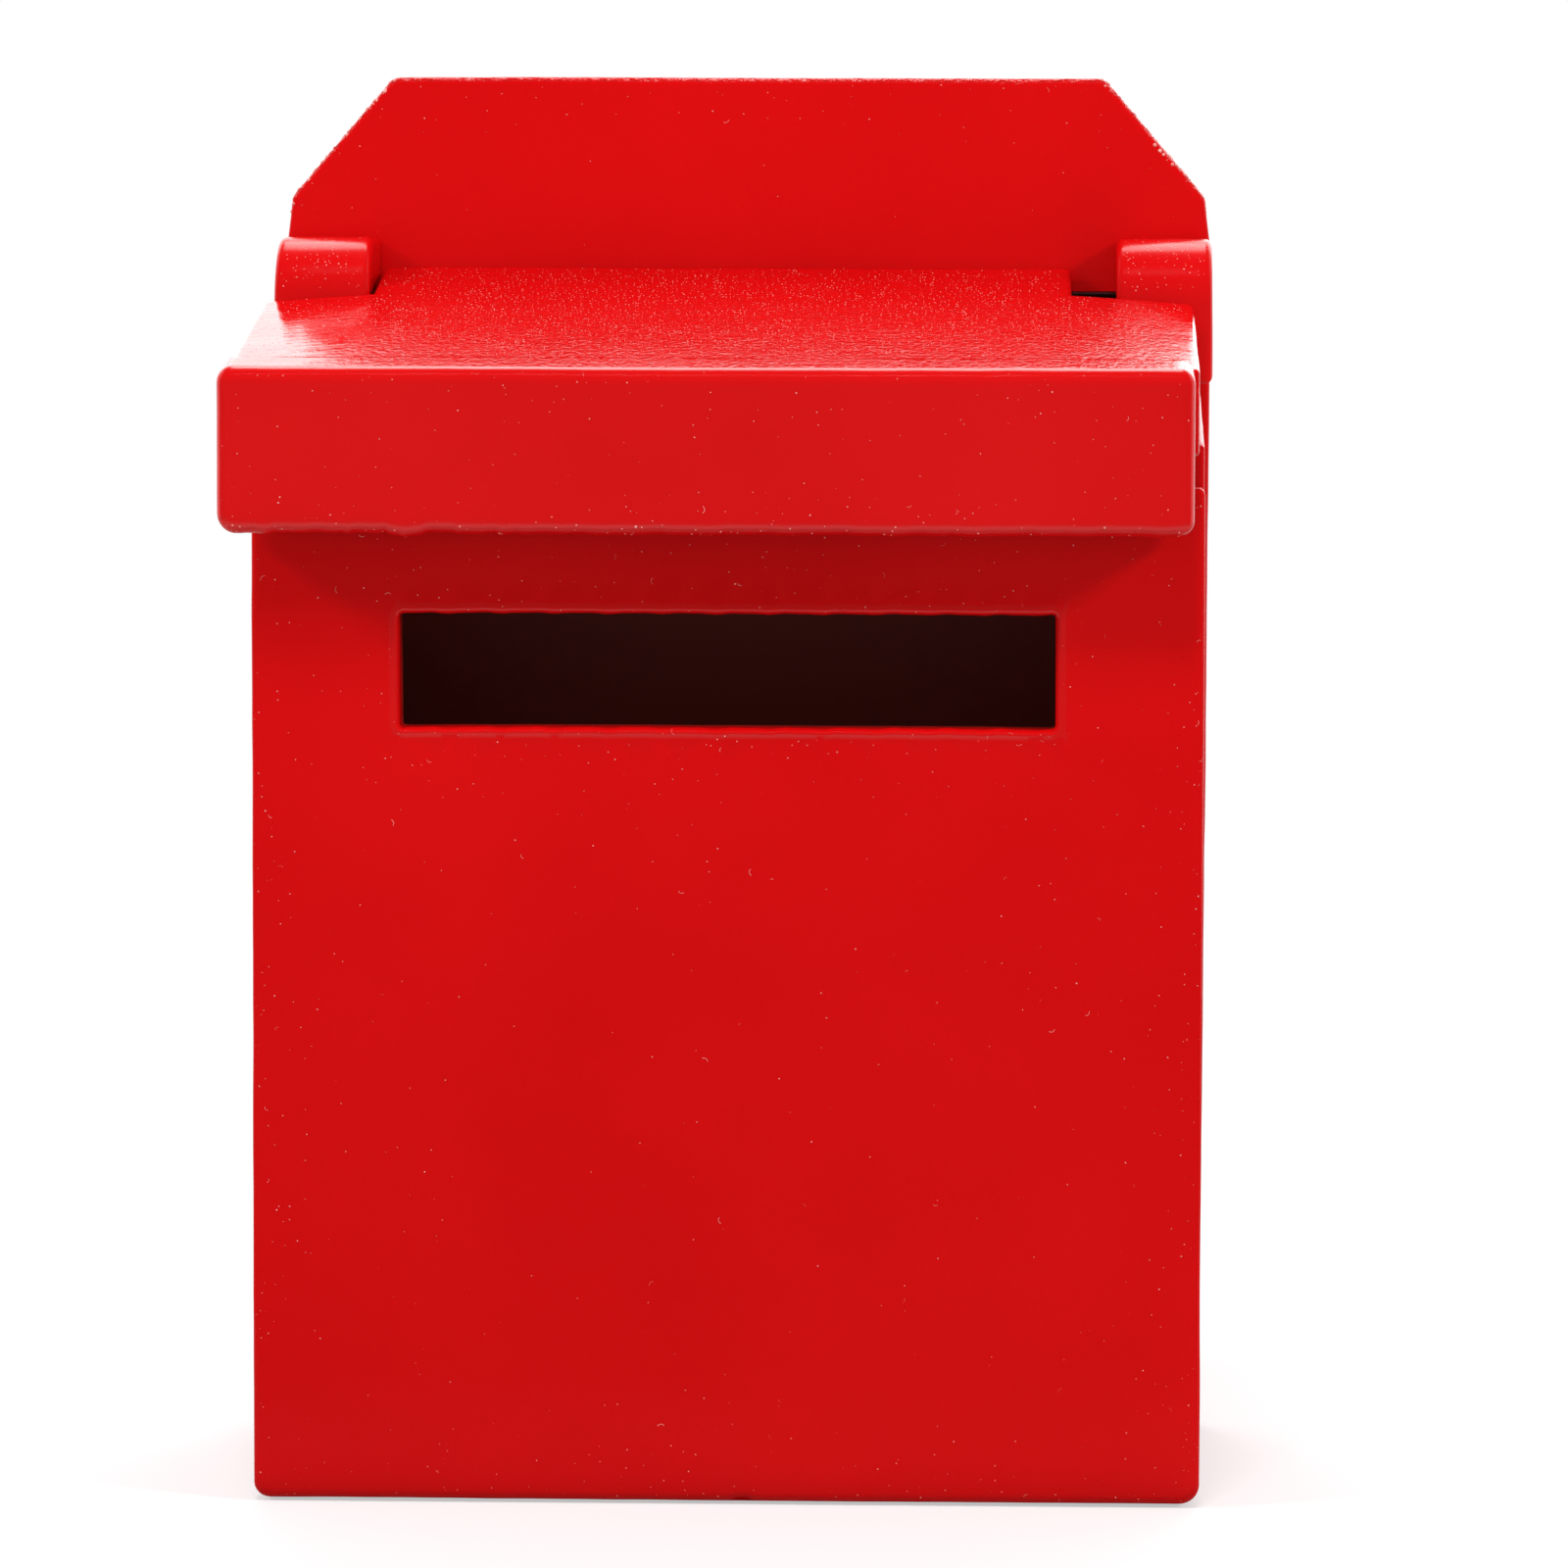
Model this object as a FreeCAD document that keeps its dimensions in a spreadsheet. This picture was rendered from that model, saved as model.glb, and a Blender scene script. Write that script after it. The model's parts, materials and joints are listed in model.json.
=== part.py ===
import FreeCAD, Part
import os
import Sketcher

# Letter-box shaped money box of painted boards: a carcass of five boards, and a sloping lid with a
# lip that turns on two pins in front of the back board. The front faces -Y, the box stands on Z = 0
# and the origin is the middle of its base. Millimetres and degrees.

SIZES = {
    # carcass
    "body_width": 60.0,
    "body_depth": 35.3,
    "front_thick": 3.0,
    "front_drop": 2.5,
    "side_thick": 3.0,
    "side_height": 66.9,
    "floor_thick": 3.0,
    "board_thick": 4.0,
    "board_lap": 0.85,
    "board_rise": 14.85,
    "bevel_run": 7.2,
    "bevel_rise": 8.4,
    "bevel_top_round": 1.3,
    "bevel_low_round": 6.0,
    "panel_corner": 0.5,
    # coin slot
    "slot_width": 41.3,
    "slot_height": 7.2,
    "slot_drop": 8.05,
    # hinge
    "hinge_setback": 4.3,
    "block_width": 6.35,
    "block_radius": 4.2,
    "pin_diameter": 1.5,
    "pin_length": 13.0,
    "pin_set": 0.5,
    "pin_cover": 1.7,
    "pin_clearance": 0.05,
    "bore_spare": 1.0,
    # lid
    "lid_slope": 10.0,
    "lid_thick": 6.0,
    "lid_lap": 0.45,
    "lid_offset": 0.43,
    "lid_gap": 0.15,
    "lid_corner": 0.9,
    "tongue_round": 1.3,
    "side_play": 3.2,
    "end_gap": 0.3,
    "board_gap": 0.35,
    "shoulder_gap": 0.3,
    "fascia_thick": 4.0,
    "fascia_height": 10.5,
    "fascia_offset": -0.35,
    "fascia_gap": 1.0,
    "fascia_corner": 1.2,
    "fascia_ease": 0.7,
    # panel pins
    "brad_diameter": 0.8,
    "brad_length": 8.0,
    "brad_sink": 0.4,
    "brad_inset": 8.0,
    "floor_brad_pitch": 16.0,
    "block_brad_pitch": 4.8,
    "fascia_brad_pitch": 22.0,
}

# Places and lengths that follow from the sizes. The lid's own levels and ends, the seat under the hinge
# blocks and the fascia's front are measured from the pin axis, and the rest from the origin.
PLACES = {
    "slope_tan": "tan(Sheet.lid_slope * 1deg)",
    "slope_sin": "sin(Sheet.lid_slope * 1deg)",
    "slope_cos": "cos(Sheet.lid_slope * 1deg)",
    "front_y": "Sheet.front_thick - Sheet.body_depth / 2",
    "back_y": "Sheet.body_depth / 2 - Sheet.board_thick",
    "hinge_y": "Layout.back_y - Sheet.hinge_setback",
    "lid_top": "Sheet.pin_cover / Layout.slope_cos",
    "lid_under": "(Sheet.pin_cover - Sheet.lid_thick) / Layout.slope_cos",
    "seat_under": "Layout.lid_under - Sheet.lid_gap / Layout.slope_cos",
    "hinge_z": "Sheet.side_height + (Layout.hinge_y - Layout.front_y) * Layout.slope_tan - Layout.seat_under",
    "front_height": "Sheet.side_height - Sheet.front_drop",
    "slot_level": "Layout.front_height - Sheet.slot_drop - Sheet.slot_height",
    "board_width": "Sheet.body_width + 2 * Sheet.board_lap",
    "board_height": "Layout.hinge_z + Sheet.board_rise",
    "side_back_height": "Sheet.side_height + (Layout.back_y - Layout.front_y) * Layout.slope_tan",
    "side_x": "(Sheet.body_width - Sheet.side_thick) / 2",
    "block_x": "(Layout.board_width - Sheet.block_width) / 2",
    "pin_tip": "Layout.board_width / 2 - Sheet.pin_set - Sheet.pin_length",
    "tongue_width": "Layout.board_width - 2 * Sheet.block_width - Sheet.side_play",
    "tongue_x": "Sheet.end_gap - Sheet.side_play / 2",
    "lid_width": "Sheet.body_width + 2 * Sheet.lid_lap",
    "lid_x": "Layout.tongue_x + Sheet.lid_offset",
    "lid_front": "-Sheet.body_depth / 2 - Sheet.fascia_gap - Layout.hinge_y",
    "lid_mid": "Layout.lid_front * Layout.slope_tan + (Layout.lid_top + Layout.lid_under) / 2",
    "lid_drop": "Sheet.lid_thick - Sheet.pin_cover",
    "lid_shoulder": "(Sheet.block_radius + Sheet.shoulder_gap + Layout.lid_drop * Layout.slope_sin)"
                    " / Layout.slope_cos",
    "fascia_front": "Layout.lid_front - Sheet.fascia_thick",
}

# Depth of a panel pin's hole in the board it goes through, and in the board it holds.
THROUGH = "Sheet.{thick} - Sheet.brad_sink"
HELD = "Sheet.brad_length - Sheet.{thick} + Sheet.brad_sink"

ALONG_X = FreeCAD.Rotation(FreeCAD.Vector(0, 1, 0), 90)
ALONG_Y = FreeCAD.Rotation(FreeCAD.Vector(1, 0, 0), -90)

doc = FreeCAD.newDocument("money_box")

sheet = doc.addObject("Spreadsheet::Sheet", "Sheet")
for row, (alias, value) in enumerate(SIZES.items(), start=1):
    sheet.set(f"A{row}", alias)
    sheet.set(f"B{row}", str(value))
    sheet.setAlias(f"B{row}", alias)
doc.recompute()

layout = doc.addObject("App::VarSet", "Layout")
for name, expression in PLACES.items():
    layout.addProperty("App::PropertyFloat", name)
    layout.setExpression(name, expression)
    doc.recompute()

pieces = []


def place(piece, x="0", y="0", z="0"):
    """Bind a piece's position to expressions."""
    for axis, expression in zip("xyz", (x, y, z)):
        piece.setExpression(f"Placement.Base.{axis}", expression)


def make_body(node, x="0", y="0", z="0"):
    """Start a board as a body of its own."""
    body = doc.addObject("PartDesign::Body", node)
    body.Label = node
    place(body, x, y, z)
    pieces.append(body)
    return body


def make_sketch(body, role, offset="0"):
    """Add a sketch on one of the body's origin planes, moved along the plane's normal."""
    sketch = body.newObject("Sketcher::SketchObject", f"{body.Name}_sketch")
    plane = [item for item in body.Origin.OriginFeatures if item.Role == role][0]
    sketch.AttachmentSupport = [(plane, "")]
    sketch.MapMode = "FlatFace"
    sketch.setExpression("AttachmentOffset.Base.z", offset)
    doc.recompute()
    return sketch


def bind_point(sketch, geometry, point, x, y):
    """Hold a point of the sketch at two expressions, measured from the sketch's origin."""
    for kind, expression in (("DistanceX", x), ("DistanceY", y)):
        value = float(sketch.evalExpression(expression))
        index = sketch.addConstraint(Sketcher.Constraint(kind, -1, 1, geometry, point, value))
        sketch.setExpression(f"Constraints[{index}]", expression)


def draw_outline(sketch, corners):
    """Draw a closed outline of straight lines through corners given as expressions."""
    points = [FreeCAD.Vector(*(float(sketch.evalExpression(part)) for part in corner)) for corner in corners]
    first = sketch.GeometryCount
    count = len(corners)
    for start, end in zip(points, points[1:] + points[:1]):
        sketch.addGeometry(Part.LineSegment(start, end), False)
    for index in range(count):
        following = first + (index + 1) % count
        sketch.addConstraint(Sketcher.Constraint("Coincident", first + index, 2, following, 1))
    for index, (x, y) in enumerate(corners):
        bind_point(sketch, first + index, 1, x, y)


def draw_circles(sketch, centres, radius):
    """Draw circles of one radius at centres given as expressions."""
    for x, y in centres:
        start = FreeCAD.Vector(float(sketch.evalExpression(x)), float(sketch.evalExpression(y)))
        size = float(sketch.evalExpression(radius))
        circle = sketch.addGeometry(Part.Circle(start, FreeCAD.Vector(0, 0, 1), size), False)
        bind_point(sketch, circle, 3, x, y)
        index = sketch.addConstraint(Sketcher.Constraint("Radius", circle, size))
        sketch.setExpression(f"Constraints[{index}]", radius)


def pad(body, sketch, length, reverse=False, midplane=False):
    """Raise the sketch along its normal, or against it."""
    feature = body.newObject("PartDesign::Pad", f"{body.Name}_pad")
    feature.Profile = sketch
    feature.setExpression("Length", length)
    feature.Reversed = reverse
    feature.Midplane = midplane
    doc.recompute()
    return feature


def pocket(body, sketch, depth, reverse=False):
    """Cut the sketch against its normal, or along it, and make sure that wood was removed."""
    before = body.Shape.Volume
    feature = body.newObject("PartDesign::Pocket", f"{body.Name}_pocket")
    feature.Profile = sketch
    feature.setExpression("Length", depth)
    feature.Reversed = reverse
    doc.recompute()
    if body.Shape.Volume >= before:
        raise RuntimeError(f"a cut in {body.Label} removes nothing")
    return feature


def drill(body, role, offset, centres, depth, reverse=False):
    """Drill blind holes for panel pins into a joint face."""
    sketch = make_sketch(body, role, offset)
    draw_circles(sketch, centres, "Sheet.brad_diameter / 2")
    pocket(body, sketch, depth, reverse)


def round_edges(body, radius, chosen):
    """Round the edges of the body that the test chooses."""
    base = body.Tip
    names = [f"Edge{index}" for index, edge in enumerate(base.Shape.Edges, start=1) if chosen(edge)]
    feature = body.newObject("PartDesign::Fillet", f"{body.Name}_round")
    feature.Base = (base, names)
    feature.setExpression("Radius", radius)
    doc.recompute()


def runs_along(edge, axis):
    """Say whether a straight edge runs along X, Y or Z."""
    spans = {"X": edge.BoundBox.XLength, "Y": edge.BoundBox.YLength, "Z": edge.BoundBox.ZLength}
    others = [span for name, span in spans.items() if name != axis]
    return isinstance(edge.Curve, Part.Line) and max(others) < 1e-6 < spans[axis]


def make_pins(node, rotation, places, radius, length):
    """Make a group of equal round pins as one node."""
    pins = []
    for spot in places:
        pin = doc.addObject("Part::Cylinder", f"{node}_pin")
        pin.setExpression("Radius", radius)
        pin.setExpression("Height", length)
        pin.Placement.Rotation = rotation
        place(pin, *spot)
        pins.append(pin)
    group = pins[0]
    if len(pins) > 1:
        group = doc.addObject("Part::Compound", node)
        group.Links = pins
    group.Label = node
    pieces.append(group)


def make_brads(node, rotation, places):
    """Make a group of headless panel pins."""
    make_pins(node, rotation, places, "Sheet.brad_diameter / 2", "Sheet.brad_length")


# Heights of the panel pins that hold the front panel and the back board to the sides.
front_levels = ["Sheet.brad_inset", "Layout.front_height / 2", "Layout.front_height - Sheet.brad_inset"]
back_levels = ["Sheet.brad_inset", "Sheet.side_height / 2", "Sheet.side_height - Sheet.brad_inset"]
floor_rows = ["-Sheet.floor_brad_pitch / 2", "Sheet.floor_brad_pitch / 2"]
block_levels = ["-Sheet.block_brad_pitch / 2", "Sheet.block_brad_pitch / 2"]
fascia_columns = ["-Sheet.fascia_brad_pitch", "0", "Sheet.fascia_brad_pitch"]
hands = {"left": "-", "right": ""}

# Back board: stands behind the carcass and above the lid, with its two top corners bevelled off.
board = make_body("back_board", y="Layout.back_y")
outline = make_sketch(board, "XZ_Plane")
half = "Layout.board_width / 2"
draw_outline(outline, [
    (f"-{half}", "0"),
    (half, "0"),
    (half, "Layout.board_height - Sheet.bevel_rise"),
    (f"{half} - Sheet.bevel_run", "Layout.board_height"),
    (f"-{half} + Sheet.bevel_run", "Layout.board_height"),
    (f"-{half}", "Layout.board_height - Sheet.bevel_rise"),
])
pad(board, outline, "Sheet.board_thick", reverse=True)
bevel_low = layout.board_height - SIZES["bevel_rise"]
round_edges(board, "Sheet.bevel_low_round",
            lambda edge: runs_along(edge, "Y") and abs(edge.CenterOfMass.z - bevel_low) < 1e-6)
round_edges(board, "Sheet.bevel_top_round",
            lambda edge: runs_along(edge, "Y") and abs(edge.CenterOfMass.z - layout.board_height) < 1e-6)
drill(board, "XZ_Plane", "0",
      [(f"{sign}Layout.side_x", level) for sign in hands.values() for level in back_levels]
      + [(f"{sign}Layout.block_x", f"Layout.hinge_z + {level}")
         for sign in hands.values() for level in block_levels],
      THROUGH.format(thick="board_thick"))

# Front panel: laid over the front ends of the sides, with the coin slot cut through it.
front = make_body("front_panel", y="Layout.front_y")
outline = make_sketch(front, "XZ_Plane")
half = "Sheet.body_width / 2"
draw_outline(outline, [
    (f"-{half}", "0"),
    (half, "0"),
    (half, "Layout.front_height"),
    (f"-{half}", "Layout.front_height"),
])
half = "Sheet.slot_width / 2"
draw_outline(outline, [
    (f"-{half}", "Layout.slot_level"),
    (half, "Layout.slot_level"),
    (half, "Layout.slot_level + Sheet.slot_height"),
    (f"-{half}", "Layout.slot_level + Sheet.slot_height"),
])
pad(front, outline, "Sheet.front_thick")
round_edges(front, "Sheet.panel_corner",
            lambda edge: runs_along(edge, "Y")
            and abs(abs(edge.CenterOfMass.x) - SIZES["body_width"] / 2) < 1e-6)
drill(front, "XZ_Plane", "0",
      [(f"{sign}Layout.side_x", level) for sign in hands.values() for level in front_levels],
      THROUGH.format(thick="front_thick"), reverse=True)

# Sides: between the front panel and the back board, their top edges sloped for the lid to lie on.
for hand, sign in hands.items():
    side = make_body(f"{hand}_side", x=f"{sign}Layout.side_x - Sheet.side_thick / 2")
    outline = make_sketch(side, "YZ_Plane")
    draw_outline(outline, [
        ("Layout.front_y", "0"),
        ("Layout.back_y", "0"),
        ("Layout.back_y", "Layout.side_back_height"),
        ("Layout.front_y", "Sheet.side_height"),
    ])
    pad(side, outline, "Sheet.side_thick")
    middle = "Sheet.side_thick / 2"
    drill(side, "XZ_Plane", "-Layout.front_y", [(middle, level) for level in front_levels],
          HELD.format(thick="front_thick"))
    drill(side, "XZ_Plane", "-Layout.back_y", [(middle, level) for level in back_levels],
          HELD.format(thick="board_thick"), reverse=True)
    inner_face = "Sheet.side_thick" if hand == "left" else "0"
    drill(side, "YZ_Plane", inner_face, [(row, "Sheet.floor_thick / 2") for row in floor_rows],
          THROUGH.format(thick="side_thick"), reverse=hand == "right")

# Floor: let in between the four walls, flush with their lower edges.
floor = make_body("floor_panel")
outline = make_sketch(floor, "XY_Plane")
half = "(Sheet.body_width / 2 - Sheet.side_thick)"
draw_outline(outline, [
    (f"-{half}", "Layout.front_y"),
    (half, "Layout.front_y"),
    (half, "Layout.back_y"),
    (f"-{half}", "Layout.back_y"),
])
pad(floor, outline, "Sheet.floor_thick")
for hand, sign in hands.items():
    drill(floor, "YZ_Plane", f"{sign}{half}", [(row, "Sheet.floor_thick / 2") for row in floor_rows],
          HELD.format(thick="side_thick"), reverse=hand == "left")

# Hinge blocks: glued on the sides and against the back board, rounded about the pin axis in front.
for hand, sign in hands.items():
    block = make_body(f"{hand}_hinge_block", x=f"{sign}Layout.block_x - Sheet.block_width / 2",
                      y="Layout.hinge_y", z="Layout.hinge_z")
    outline = make_sketch(block, "YZ_Plane")
    draw_outline(outline, [
        ("-Sheet.block_radius", "Layout.seat_under - Sheet.block_radius * Layout.slope_tan"),
        ("Sheet.hinge_setback", "Layout.seat_under + Sheet.hinge_setback * Layout.slope_tan"),
        ("Sheet.hinge_setback", "Sheet.block_radius"),
        ("-Sheet.block_radius", "Sheet.block_radius"),
    ])
    draw_circles(outline, [("0", "0")], "Sheet.pin_diameter / 2")
    pad(block, outline, "Sheet.block_width")
    round_edges(block, "Sheet.block_radius",
                lambda edge: runs_along(edge, "X")
                and edge.CenterOfMass.y < 0 < edge.CenterOfMass.z)
    drill(block, "XZ_Plane", "-Sheet.hinge_setback",
          [("Sheet.block_width / 2", level) for level in block_levels],
          HELD.format(thick="board_thick"), reverse=True)

# Hinge pins: pressed into the blocks from their outer ends, and running in the lid's tongue.
pin_starts = {"left": "-Layout.pin_tip - Sheet.pin_length", "right": "Layout.pin_tip"}
for hand, start in pin_starts.items():
    make_pins(f"{hand}_hinge_pin", ALONG_X, [(start, "Layout.hinge_y", "Layout.hinge_z")],
              "Sheet.pin_diameter / 2", "Sheet.pin_length")

# Lid panel: a sloping plank whose middle runs on between the blocks as the hinge's tongue.
# Its front end and the tongue's back are plumb, and its shoulders are cut square to the slope.
lid = make_body("lid_panel", x="Layout.lid_x", y="Layout.hinge_y", z="Layout.hinge_z")
front_top = ("Layout.lid_front", "Layout.lid_front * Layout.slope_tan + Layout.lid_top")
front_under = ("Layout.lid_front", "Layout.lid_front * Layout.slope_tan + Layout.lid_under")
outline = make_sketch(lid, "YZ_Plane")
draw_outline(outline, [
    front_under,
    ("-Layout.lid_shoulder * Layout.slope_cos + Layout.lid_drop * Layout.slope_sin",
     "-Layout.lid_shoulder * Layout.slope_sin - Layout.lid_drop * Layout.slope_cos"),
    ("-Layout.lid_shoulder * Layout.slope_cos - Sheet.pin_cover * Layout.slope_sin",
     "-Layout.lid_shoulder * Layout.slope_sin + Sheet.pin_cover * Layout.slope_cos"),
    front_top,
])
pad(lid, outline, "Layout.lid_width", midplane=True)
round_edges(lid, "Sheet.lid_corner",
            lambda edge: edge.BoundBox.XLength < 1e-6
            and edge.BoundBox.YLength < edge.BoundBox.ZLength)
outline = make_sketch(lid, "YZ_Plane", "-Sheet.lid_offset")
reach = "(Sheet.hinge_setback - Sheet.board_gap)"
draw_outline(outline, [
    front_under,
    (reach, f"{reach} * Layout.slope_tan + Layout.lid_under"),
    (reach, f"{reach} * Layout.slope_tan + Layout.lid_top"),
    front_top,
])
pad(lid, outline, "Layout.tongue_width", midplane=True)
round_edges(lid, "Sheet.tongue_round",
            lambda edge: runs_along(edge, "X") and edge.CenterOfMass.y > 0 < edge.CenterOfMass.z)
for hand, sign in hands.items():
    bore = make_sketch(lid, "YZ_Plane", f"{sign}(Layout.pin_tip - Sheet.bore_spare) - Layout.lid_x")
    draw_circles(bore, [("0", "0")], "Sheet.pin_diameter / 2 + Sheet.pin_clearance")
    pocket(lid, bore, "Layout.tongue_width / 2", reverse=hand == "right")
drill(lid, "XZ_Plane", "-Layout.lid_front", [(column, "Layout.lid_mid") for column in fascia_columns],
      HELD.format(thick="fascia_thick"))

# Lid fascia: a plumb lip board on the plank's front end, planed off level with the lid's slope.
fascia = make_body("lid_fascia", x="Layout.lid_x", y="Layout.hinge_y", z="Layout.hinge_z")
outline = make_sketch(fascia, "YZ_Plane", "Sheet.fascia_offset")
lip_top = "Layout.fascia_front * Layout.slope_tan + Layout.lid_top"
draw_outline(outline, [
    ("Layout.fascia_front", f"{lip_top} - Sheet.fascia_height"),
    ("Layout.lid_front", f"{lip_top} - Sheet.fascia_height"),
    front_top,
    ("Layout.fascia_front", lip_top),
])
pad(fascia, outline, "Layout.lid_width", midplane=True)
round_edges(fascia, "Sheet.fascia_corner",
            lambda edge: edge.BoundBox.XLength < 1e-6 and edge.BoundBox.YLength > SIZES["fascia_thick"] / 2)
round_edges(fascia, "Sheet.fascia_ease",
            lambda edge: edge.BoundBox.YLength < 1e-6
            and abs(edge.CenterOfMass.y - layout.fascia_front) < 1e-6)
drill(fascia, "XZ_Plane", "-Layout.lid_front", [(column, "Layout.lid_mid") for column in fascia_columns],
      THROUGH.format(thick="fascia_thick"), reverse=True)

# Panel pins: headless, driven through the outer board into the other and sunk under its painted face.
make_brads("front_panel_pins", ALONG_Y,
           [(f"{sign}Layout.side_x", "Sheet.brad_sink - Sheet.body_depth / 2", level)
            for sign in hands.values() for level in front_levels])
back_start = "Sheet.body_depth / 2 - Sheet.brad_sink - Sheet.brad_length"
make_brads("back_board_pins", ALONG_Y,
           [(f"{sign}Layout.side_x", back_start, level)
            for sign in hands.values() for level in back_levels])
make_brads("hinge_block_pins", ALONG_Y,
           [(f"{sign}Layout.block_x", back_start, f"Layout.hinge_z + {level}")
            for sign in hands.values() for level in block_levels])
floor_starts = ["Sheet.brad_sink - Sheet.body_width / 2",
                "Sheet.body_width / 2 - Sheet.brad_sink - Sheet.brad_length"]
make_brads("floor_pins", ALONG_X,
           [(start, row, "Sheet.floor_thick / 2") for start in floor_starts for row in floor_rows])
fascia_start = "Layout.hinge_y + Layout.fascia_front + Sheet.brad_sink"
make_brads("fascia_pins", ALONG_Y,
           [(f"Layout.lid_x + {column}", fascia_start, "Layout.hinge_z + Layout.lid_mid")
            for column in fascia_columns])

doc.recompute()
for item in doc.Objects:
    if "Invalid" in item.State or "Error" in item.State:
        raise RuntimeError(f"{item.Label} failed: {item.State}")
for piece in pieces:
    if piece.Shape.isNull() or not piece.Shape.isValid():
        raise RuntimeError(f"{piece.Label} has no valid shape")

os.makedirs("parts", exist_ok=True)
for piece in pieces:
    piece.Shape.exportStep(f"parts/{piece.Label}.step")
    box = piece.Shape.BoundBox
    corners = (box.XMin, box.YMin, box.ZMin, box.XMax, box.YMax, box.ZMax)
    print(piece.Label, len(piece.Shape.Solids), *(round(value, 2) for value in corners))
print("pin axis", round(layout.hinge_y, 3), round(layout.hinge_z, 3))
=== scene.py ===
import json
import math

import bmesh
import bpy
import numpy as np
from mathutils import Matrix, Vector, geometry, noise


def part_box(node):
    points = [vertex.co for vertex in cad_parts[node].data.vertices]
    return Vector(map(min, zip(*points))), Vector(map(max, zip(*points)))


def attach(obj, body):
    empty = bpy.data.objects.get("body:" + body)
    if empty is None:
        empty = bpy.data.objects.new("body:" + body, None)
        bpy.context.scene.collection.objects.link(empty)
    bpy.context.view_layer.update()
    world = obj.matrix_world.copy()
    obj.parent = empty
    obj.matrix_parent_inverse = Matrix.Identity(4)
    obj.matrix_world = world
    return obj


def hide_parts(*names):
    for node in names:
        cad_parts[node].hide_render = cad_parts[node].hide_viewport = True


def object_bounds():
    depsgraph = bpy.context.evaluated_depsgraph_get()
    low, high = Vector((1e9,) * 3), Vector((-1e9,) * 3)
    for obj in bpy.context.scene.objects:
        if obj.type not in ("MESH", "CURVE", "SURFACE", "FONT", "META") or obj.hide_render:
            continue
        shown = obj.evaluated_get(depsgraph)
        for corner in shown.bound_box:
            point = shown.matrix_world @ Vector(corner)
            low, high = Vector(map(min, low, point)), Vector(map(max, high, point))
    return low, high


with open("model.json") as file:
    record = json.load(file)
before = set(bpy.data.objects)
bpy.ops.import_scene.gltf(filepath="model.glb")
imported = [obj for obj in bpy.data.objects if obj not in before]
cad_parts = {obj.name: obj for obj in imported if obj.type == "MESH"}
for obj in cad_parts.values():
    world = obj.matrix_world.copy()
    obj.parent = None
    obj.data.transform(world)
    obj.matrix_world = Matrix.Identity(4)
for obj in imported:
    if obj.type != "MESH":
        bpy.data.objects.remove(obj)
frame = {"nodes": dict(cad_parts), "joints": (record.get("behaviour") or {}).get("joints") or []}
cad_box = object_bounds()


# Floor panel: a 3 mm board let in between the four walls, flush with their lower edges.
# Sanded softwood, glued and pinned through the sides, and painted with the rest of the box.
def box_mm(node):
    """A node's lowest and highest corner in mm, to a hundredth."""
    return [[round(value * 1000, 2) for value in corner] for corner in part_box(node)]


def rectangle(left, right, bottom, top):
    """The corners of a plain board's outline, anticlockwise."""
    return [(left, bottom), (right, bottom), (right, top), (left, top)]


def outline_ring(corners, rounds, inset, step):
    """Points round a board's outline in mm, moved in from its edge by inset, with its corners rounded."""
    least_round, arc_step = 0.02, 0.25
    count = len(corners)
    arcs, divisions = [], []
    for i in range(count):
        before, here, after = (Vector(corners[j % count]) for j in (i - 1, i, i + 1))
        along, onward = (here - before).normalized(), (after - here).normalized()
        inner, next_inner = Vector((-along.y, along.x)), Vector((-onward.y, onward.x))
        turn = math.atan2(along.cross(onward), along.dot(onward))
        side = 1 if turn > 0 else -1
        mitre = (inner + next_inner) / (1 + inner.dot(next_inner))
        radius = max(rounds[i] - side * inset, least_round)
        centre = here + mitre * (inset + side * radius)
        steps = max(2, round(abs(turn) * rounds[i] / arc_step))
        arc = []
        for k in range(steps + 1):
            spoke = -side * inner
            spoke.rotate(Matrix.Rotation(turn * k / steps, 2))
            arc.append(centre + radius * spoke)
        arcs.append(arc)
        divisions.append(max(1, round((after - here).length / step)))
    ring = []
    for i, arc in enumerate(arcs):
        end = arcs[(i + 1) % count][0]
        ring += arc
        ring += [arc[-1].lerp(end, k / divisions[i]) for k in range(1, divisions[i])]
    return np.array(ring)


def inside(points, ring):
    """Which points lie inside a closed ring."""
    x, y = points[:, :1], points[:, 1:]
    x0, y0 = ring.T
    x1, y1 = np.roll(ring, -1, axis=0).T
    tiny = 1e-12
    rise = np.where(y1 == y0, tiny, y1 - y0)
    crossed = ((y0 > y) != (y1 > y)) & (x < (x1 - x0) * (y - y0) / rise + x0)
    return crossed.sum(axis=1) % 2 == 1


def edge_profile(depth, eases, step):
    """Each ring's inset and height in mm: out over the low face's eased edge, up the wall and in again."""
    well_eased, land = 0.25, 0.25
    low, high = depth
    turns = []
    for face, sign, ease in ((low, 1, eases[0]), (high, -1, eases[1])):
        arcs = 5 if ease > well_eased else 3
        turned = [(ease + land, face)]
        for k in range(arcs + 1):
            angle = math.pi / 2 * (1 - k / arcs)
            turned.append((ease * (1 - math.cos(angle)), face + sign * ease * (1 - math.sin(angle))))
        turns.append(turned)
    bottom, top = low + eases[0], high - eases[1]
    walls = max(1, round((top - bottom) / step))
    wall = [(0, bottom + (top - bottom) * k / walls) for k in range(1, walls)]
    return turns[0] + wall + turns[1][::-1]


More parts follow.
